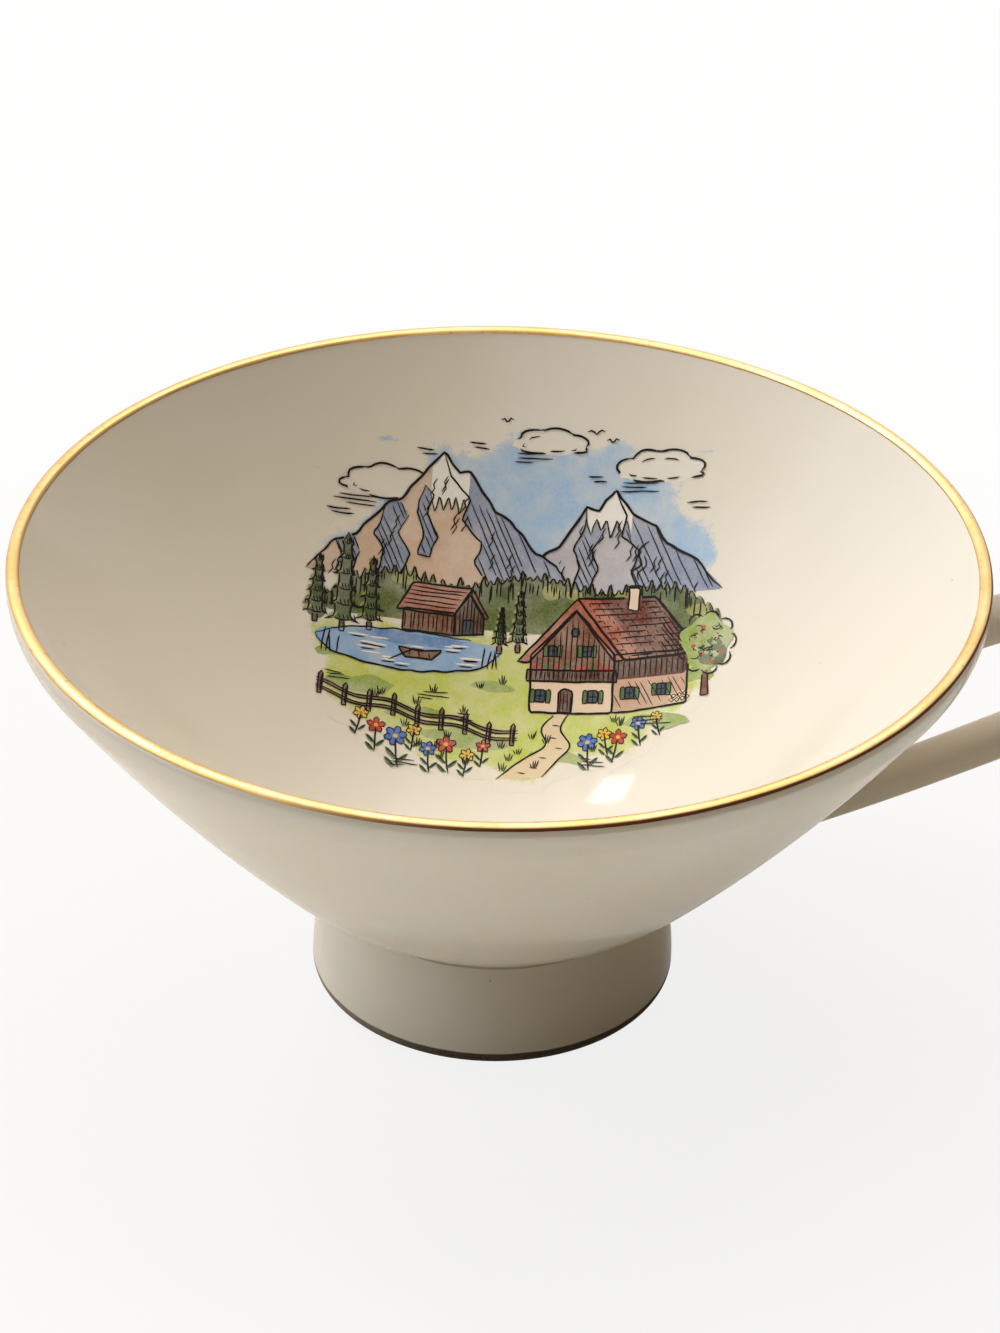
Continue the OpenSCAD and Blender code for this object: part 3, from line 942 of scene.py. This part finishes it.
# hay barn on the far shore
barnSide = [(-10.4, -3.7), (-5.7, -3.8), (-5.7, -1.7), (-10.4, -1.6)]
barnEnd = [(-5.7, -3.8), (-3.0, -3.5), (-3.0, -1.8), (-4.35, 0.2), (-5.7, -1.7)]
barnRoof = [(-11.0, -1.8), (-9.7, 0.9), (-4.2, 0.7), (-5.8, -1.95)]
barnVerge = [(-4.2, 0.7), (-2.5, -2.0), (-3.0, -2.05), (-4.3, 0.05)]
clear(barnSide, barnEnd, barnRoof, barnVerge)
for shape, paint, layer in ((barnSide, "timber", 6), (barnEnd, "timberShade", 6),
                            (barnRoof, "roofLight", 7), (barnVerge, "roof", 7)):
    inked(shape, paint, layer, 0.19, 0.06)
hatch(barnRoof, -2, 0.42)
hatch(barnSide, 90, 0.42)
hatch(barnEnd, 90, 0.34)
inked([(-4.9, -3.7), (-3.9, -3.6), (-3.9, -2.2), (-4.9, -2.3)], "window", 8, 0.15, 0.03)

# path to the door
pathLeft = flowing([(4.3, -10.6), (3.0, -12.2), (3.6, -13.8), (1.6, -15.2), (-0.8, -17.4)])
pathRight = flowing([(5.5, -10.6), (4.8, -12.2), (5.8, -13.8), (4.6, -15.4), (3.4, -17.0)])
wash(np.vstack([pathLeft, pathRight[::-1]]), "path", 6, 0.12)
pen(pathLeft, 0.16)
pen(pathRight, 0.16)
for x, y in ((4.4, -11.8), (4.2, -13.0), (4.8, -14.0), (3.4, -15.0), (2.6, -16.0), (1.6, -16.6)):
    pen([(x - 0.4, y), (x + 0.3, y - 0.08)], 0.11, 0.05)

# farmhouse, gable to the left and long roof to the right
gable = [(1.6, -5.2), (5.6, -0.8), (9.4, -5.0), (9.4, -10.6), (1.8, -10.6)]
sideWall = [(9.4, -5.0), (16.2, -4.6), (16.2, -9.8), (9.4, -10.6)]
longRoof = [(5.6, 0.3), (12.9, 0.5), (17.3, -4.9), (10.3, -5.5)]
verge = [(5.6, 0.3), (10.3, -5.5), (9.4, -5.6), (5.6, -0.9), (1.4, -5.9), (0.4, -5.8)]
clear(gable, sideWall, longRoof, verge)
wash(gable, "plaster", 6)
wash([(1.7, -7.4)] + gable[:3] + [(9.4, -7.4)], "timber", 7)
wash(sideWall, "plasterShade", 6)
wash([(9.4, -5.2), (16.2, -4.7), (16.2, -6.9), (9.4, -7.4)], "timberShade", 7)
wash(longRoof, "roof", 8)
wash([(5.6, 0.3), (7.6, 0.33), (12.3, -5.33), (10.3, -5.5)], "roofLight", 8.4)
wash(verge, "roofLight", 8.2)
for shape, width in ((gable, 0.22), (sideWall, 0.2), (longRoof, 0.26), (verge, 0.2)):
    outline(shape, width)
roofCorners = [np.array(p) for p in longRoof]
for f in np.linspace(0.08, 0.94, 10):  # courses of shingles
    left = roofCorners[0] + (roofCorners[3] - roofCorners[0]) * f
    course = roofCorners[1] + (roofCorners[2] - roofCorners[1]) * f - left
    cut = sorted(chance(0, 1) for _ in range(4))
    for a, b in ((0.03, cut[0]), (cut[0] + 0.04, cut[1]), (cut[2], cut[3]), (cut[3] + 0.03, 0.97)):
        if b - a > 0.05:
            pen([left + course * a, left + course * b], 0.14, 0.07)
    for a in np.arange(0.08 + 0.04 * chance(0, 1), 0.97, 0.12):
        pen([left + course * a, left + course * a + (0.22, -0.36)], 0.1, 0.03)
hatch([(13.4, -1.2), (14.6, -1.6), (17.0, -4.8), (13.6, -5.1)], -52, 0.34)
hatch([(9.5, -7.5), (16.1, -7.0), (16.1, -9.7), (9.5, -10.5)], -60, 0.55, 0.09, 0.6)
for x in np.arange(2.2, 9.3, 0.52):  # planks of the gable
    y = -5.2 + (x - 1.6) * 1.1 if x < 5.6 else -0.8 - (x - 5.6) * 1.105
    pen([(x, y - 0.6), (x, -7.3)], 0.12, 0.05)
for x in np.arange(9.8, 16.1, 0.5):
    pen([(x, -5.5 + (x - 9.4) * 0.06), (x, -7.3 + (x - 9.4) * 0.07)], 0.12, 0.05)
inked(oblong(1.3, -6.5, 9.7, -7.6), "timberShade", 8, 0.2)  # balcony
for x in np.arange(1.75, 9.5, 0.42):
    pen([(x, -6.6), (x, -7.5)], 0.13, 0.03)
for x in np.arange(1.8, 9.5, 0.36):  # geraniums along the balcony
    cx, cy = x + chance(-0.1, 0.1), -6.35 + chance(-0.05, 0.22)
    dab(cx, cy, 0.2, 0.18, "red" if chance(0, 1) < 0.7 else "shutter", 9)
for x, y, w, h in ((2.7, -9.6, 0.95, 1.2), (7.6, -9.6, 0.95, 1.2), (3.6, -5.2, 0.8, 1.0),
                   (6.8, -5.2, 0.8, 1.0), (11.0, -9.2, 0.8, 1.1), (13.9, -8.9, 0.8, 1.1)):
    inked(oblong(x - w / 2, y, x + w / 2, y + h), "window", 8, 0.15, 0.03)
    pen([(x, y), (x, y + h)], 0.1, 0.02)
    pen([(x - w / 2, y + h / 2), (x + w / 2, y + h / 2)], 0.1, 0.02)
    for side in (-1, 1):
        hinge = x + side * (w / 2 + 0.05)
        inked(oblong(hinge, y - 0.05, hinge + side * 0.42, y + h + 0.05), "shutter", 8, 0.12, 0.03)
door = [(4.4, -10.6), (5.7, -10.6), (5.7, -8.5), (5.05, -8.2), (4.4, -8.5)]
inked(door, "timberShade", 8, 0.18)
hatch(door, 90, 0.3, 0.1)
dab(5.6, -2.9, 0.42, 0.42, "window", 8)
outline(oval(5.6, -2.9, 0.42, 0.42, around(11)), 0.14, 0.02)
chimney = [(10.4, -0.6), (10.4, 1.4), (11.4, 1.4), (11.4, -0.9)]
clear(chimney)
inked(chimney, "plaster", 9, 0.19)
hatch([(10.9, -0.7), (10.9, 1.3), (11.35, 1.3), (11.35, -0.85)], 0, 0.28, 0.1)
pen([(10.2, 1.5), (11.6, 1.5)], 0.26, 0.03)
pen([(10.9, 2.0), (10.5, 2.9), (11.4, 3.6), (11.0, 4.8), (11.9, 5.8)], 0.16, 0.12, flow=True)
pen([(11.2, 2.1), (11.0, 2.8), (11.8, 3.5), (11.5, 4.5)], 0.12, flow=True)
wash([(14.6, -9.9), (16.6, -9.5), (16.6, -8.5), (14.7, -8.8)], "path", 8)  # firewood against the wall
for x, y in ((14.9, -9.5), (15.4, -9.45), (15.9, -9.35), (16.3, -9.2), (15.1, -9.1), (15.6, -9.0),
             (16.1, -8.85)):
    outline(oval(x, y, 0.23, 0.2, around(8)), 0.11, 0.02)


def fir(x, y, h, w, tiers=6):
    def bough(k):  # half width and lower edge of a tier
        return w * (0.24 + 0.76 * (k + 1) / tiers) / 2, y + h * (1 - (k + 1) / tiers) + h * 0.04
    left, right = [], []
    for k in range(tiers):
        half, low = bough(k)
        bend = (y + h * (1 - k / tiers) + low) / 2 - 0.1
        for sign, edge in ((-1, left), (1, right)):
            tip = sign * half * chance(0.85, 1.1)
            edge += [(x + sign * half * 0.42, bend), (x + tip, low), (x + sign * half * 0.5, low + 0.2)]
    trunk = [(x - 0.2, y + 0.5), (x + 0.2, y + 0.5), (x + 0.24, y - 0.6), (x - 0.24, y - 0.6)]
    inked(trunk, "timberShade", 6, 0.14, 0.03)
    top = [(x, y + h + 0.1)]
    clear(top + right + left[::-1])
    wash(top + right + left[::-1], "fir", 7.6, 0.06)
    pen(top + left, 0.16)
    pen(top + right, 0.2)
    for k in range(tiers):  # lit tips on the left, strokes of shade on the right
        half, low = bough(k)
        dab(x - half * 0.55, low + 0.45, half * 0.32, 0.22, "firLight", 8.6, 0.6)
        for f in (-0.1, 0.15, 0.35, 0.55, 0.75):
            pen([(x + half * (f - 0.14), low + 0.7), (x + half * f, low + 0.12)], 0.13, 0.06)
        pen([(x - half * 0.45, low + 0.25), (x, low + 0.05), (x + half * 0.5, low + 0.2)], 0.13, 0.08)


for place in ((-18.2, -3.6, 6.0, 2.6), (-15.8, -4.1, 8.8, 3.3), (-13.4, -3.6, 6.4, 2.7),
              (0.3, -4.4, 5.2, 2.2), (-1.4, -4.6, 3.6, 1.7)):
    fir(*place)

# apple tree beside the house
inked([(17.5, -9.2), (18.2, -9.2), (18.0, -6.2), (17.6, -6.2)], "timber", 7, 0.15, 0.05)
treeX, treeY = 17.8, -4.1
crown = [(treeX + (2.25 + 0.35 * sin(5 * t)) * cos(t),
          treeY + (2.6 + 0.3 * cos(4 * t)) * sin(t)) for t in around(39)]
clear(crown)
wash(crown, "grass", 8.6, 0.3)
dab(18.3, -4.9, 1.3, 1.4, "fir", 8.8, 0.2, 0.4)
dab(17.0, -3.2, 1.0, 0.9, "firLight", 8.9, 0.3, 0.3)
for (cx, cy), a in zip(oval(treeX, treeY, 1.95, 2.3, around(9)), around(9)):
    pen(oval(cx, cy, 0.75, 0.75, np.linspace(a - 1.3, a + 1.3, 9)), 0.16, 0.08)
for _ in range(22):  # curled strokes that stand for leaves
    a, r = chance(0, 2 * pi), sqrt(chance(0, 1))
    turned, size = chance(0, 2 * pi), chance(0.25, 0.5)
    cx, cy = 17.9 + 1.7 * r * cos(a), -4.2 + 2.0 * r * sin(a)
    pen(oval(cx, cy, size, size * 0.7, np.linspace(0, 3.6, 8) + turned), 0.13, 0.05)
for x, y in ((16.6, -4.4), (17.5, -2.6), (18.7, -3.4), (17.6, -5.2), (19.1, -5.0), (18.4, -6.0)):
    dab(x, y, 0.2, 0.2, "red", 9.2)


# fence, grass and field flowers
def fenceLine(x):
    return -10.2 - 0.16 * (x + 18) + 0.25 * sin(x)


for lift in (0.55, -0.15):
    rail = [(x, fenceLine(x) + lift) for x in np.arange(-17.6, 1.0, 0.5)]
    under = [(x, y - 0.26) for x, y in rail]
    wash(rail + under[::-1], "timber", 7)
    pen(rail, 0.14, 0.06)
    pen(under, 0.16, 0.06)
for x in np.arange(-17.2, 1.0, 2.2):
    y, tip = fenceLine(x), chance(-0.15, 0.15)
    post = [(x - 0.18, y - 0.9), (x + 0.18, y - 0.9), (x + 0.2, y + 1.0), (x + tip, y + 1.3),
            (x - 0.18, y + 1.0)]
    inked(post, "timber", 8, 0.15, 0.04)
    pen([(x + 0.06, y - 0.7), (x + 0.08, y + 0.9)], 0.12, 0.03)


def flower(x, y, r, paint):
    lean = chance(-0.5, 0.5)
    pen([(x, y), (x + lean * 0.4, y - r * 1.6), (x + lean, y - r * 3.0)], 0.16, 0.05, flow=True)
    for side, drop in ((-1, 1.6), (1, 2.0), (-1, 2.5)):
        lx, ly = x + lean * 0.5 + side * 0.55 * r, y - r * drop
        dab(lx, ly, 0.6 * r, 0.2 * r, "shutter", 8, side * 0.8)
        pen([(x + lean * 0.55, ly - 0.4 * r), (lx + side * 0.45 * r, ly + 0.45 * r)], 0.12, 0.04)
    for a in around(5 if paint == "red" else 6) + 0.3:
        cx, cy = x + 0.58 * r * cos(a), y + 0.5 * r * sin(a)
        dab(cx, cy, 0.46 * r, 0.31 * r, paint, 9, a)
        pen(oval(cx, cy, 0.46 * r, 0.31 * r, np.linspace(-2.2, 2.2, 10), a), 0.11, 0.02)
    dab(x, y, 0.22 * r, 0.2 * r, "timber" if paint == "yellow" else "yellow", 9.3)


for place in ((-13.4, -12.2, 0.72, "yellow"), (-12.0, -13.2, 0.85, "red"), (-10.2, -14.0, 1.05, "blue"),
              (-8.6, -13.2, 0.7, "yellow"), (-7.2, -14.9, 0.8, "blue"), (-5.6, -14.3, 0.95, "red"),
              (-3.6, -15.2, 0.72, "yellow"), (-2.2, -14.2, 0.7, "red"), (7.4, -13.4, 0.95, "blue"),
              (8.9, -12.6, 0.7, "yellow"), (10.2, -12.9, 0.85, "red"), (12.0, -11.6, 0.75, "blue"),
              (13.6, -11.0, 0.62, "yellow")):
    flower(*place)
for _ in range(60):  # tufts, clear of the house and the lake
    x, y = chance(-16, 16), chance(-16.8, -8.0)
    if x * x + y * y < 300 and not (1 < x < 19 and y > -11.2) and not (-19 < x < -0.5 and y > -8):
        for lean in (-0.4, -0.1, 0.15, 0.4):
            pen([(x + lean * 0.4, y), (x + lean, y + chance(0.45, 0.95))], 0.12, 0.04)

inkFlat, inkFaces = [], []
for points, side in strokes:
    start = len(inkFlat)
    for p, s in zip(points, side):
        inkFlat += [tuple(p + s), tuple(p - s)]
    inkFaces += [(i, i + 1, i + 3, i + 2) for i in range(start, len(inkFlat) - 2, 2)]
print("drawing:", len(art["faces"]), "faces of colour,", len(inkFaces), "of ink")
colourPiece = addPiece("pictureColour", onWall(art["flat"], art["lift"]), art["faces"],
                       [transferPaint("transferColours")], ["picture_transfer"])
layer = colourPiece.data.color_attributes.new("paint", "FLOAT_COLOR", "POINT")
layer.data.foreach_set("color", np.array(art["colour"], np.float32).ravel())
inkLift = [picture["ink"]] * len(inkFlat)
addPiece("pictureInk", onWall(inkFlat, inkLift), inkFaces, [transferInk("transferInk")])


# floor, light and camera

stageLook = {
    "wide": 12.0, "floor": "#e2dacd", "white": 0.98, "nearWhite": 0.85, "nearGloss": 0.3,
    "worldWarm": (0.042, 0.028, 0.012), "worldCool": (0.88, 0.95, 1.04),
    "wallNear": (0.42, 0.37, 0.3), "wallFar": (1.0, 0.98, 0.95),
}
lamps = {  # place, aim, size, power and colour
    "windowLight": ((-0.67, 0.33, 0.81), (0, 0, 0.03), (0.75, 0.75), 2.15, (0.98, 0.96, 0.91)),
    "sideLight": ((-0.8, -0.17, 0.65), (0, 0, 0.02), (0.7, 0.5), 1.2, (0.95, 0.96, 0.94)),
    "windowGlint": ((-0.58, 0.44, 0.834), (0.01, 0.008, 0.013), (0.19, 0.21), 3.5, (0.98, 0.96, 0.93)),
    "topLight": ((0.05, 0.5, 1.1), (0, 0, 0.03), (1.1, 1.0), 9.0, (1.0, 0.92, 0.81)),
    "frontFill": ((0.2, -0.58, 1.0), (0, 0, 0.03), (0.8, 0.6), 0.5, (1.0, 0.91, 0.76)),
}
floorMaterial, m, spot = newMaterial("paleFloor")
path, mirrored = rays(m)
mat = m.add("BsdfDiffuse", {}, {"Color": rgba(stageLook["floor"])})
glow = m.add("Emission", {}, {"Color": (1, 1, 1, 1), "Strength": 1.0})
away = m.add("VectorMath", {"operation": "LENGTH"}, {0: spot}, "Value") / mm
plain = away.step(30, 130, stageLook["nearWhite"], stageLook["white"])
glossed = away.step(40, 400, stageLook["nearGloss"], stageLook["white"])
white = m.math("MAXIMUM", path * plain, mirrored * glossed)  # the shadow shows near the cup
close(m, m.add("MixShader", {}, {0: white, 1: mat, 2: glow}))
floorMesh = bpy.data.meshes.new("floor")
wide = stageLook["wide"] / 2
floorMesh.from_pydata([(x, y, 0) for x, y in oblong(-wide, -wide, wide, wide)], [], [(0, 1, 2, 3)])
floorMesh.materials.append(floorMaterial)
floor = intoScene("floor", floorMesh)
floor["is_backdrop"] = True

world = bpy.data.worlds.new("room")
scene.world = world
w = blank(world)
way = w.add("TexCoord", out="Generated")
leftness = way.axis(0).step(-1.0, -0.45, 1.0, 0.0)
room = leftness.blend((*stageLook["worldWarm"], 1), (*stageLook["worldCool"], 1))
walls = way.axis(1).step(-0.8, 0.5).blend((*stageLook["wallNear"], 1), (*stageLook["wallFar"], 1))
shown = w.math("MAXIMUM", *rays(w)).blend(room, walls)
w.add("OutputWorld", {}, {"Surface": w.add("Background", {}, {"Color": shown, "Strength": 1.0})})

for name, (place, aim, size, power, colour) in lamps.items():
    lamp = bpy.data.lights.new(name, "AREA")
    lamp.shape, lamp.size, lamp.size_y = "RECTANGLE", *size
    lamp.energy, lamp.color = power, colour
    lamp.normalize = True
    softbox = intoScene(name, lamp)
    softbox.location = place
    softbox.rotation_euler = (Vector(aim) - Vector(place)).to_track_quat("-Z", "Y").to_euler()

cameraShape = {
    "place": (0.0, -0.308881, 0.224486), "right": (0.99981861, 0.00963468, 0.01642923),
    "up": (-0.01903796, 0.53046752, 0.84749146), "forward": (0.00054986, 0.84765051, -0.53055472),
    "focal": 4200.0, "longSide": 1333.0,  # in pixels of the photo
}
lens = bpy.data.cameras.new("camera")
lens.sensor_width = 36.0
lens.lens = cameraShape["focal"] * lens.sensor_width / cameraShape["longSide"]
lens.clip_start, lens.clip_end = 0.01, 50
camera = intoScene("camera", lens)
right, up, forward = (Vector(cameraShape[k]) for k in ("right", "up", "forward"))
turned = Matrix((right, up, -forward)).transposed().to_4x4()
camera.matrix_world = Matrix.Translation(cameraShape["place"]) @ turned
scene.camera = camera
scene.view_settings.view_transform = "Standard"
print("stage: floor, light and camera")

low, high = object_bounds()
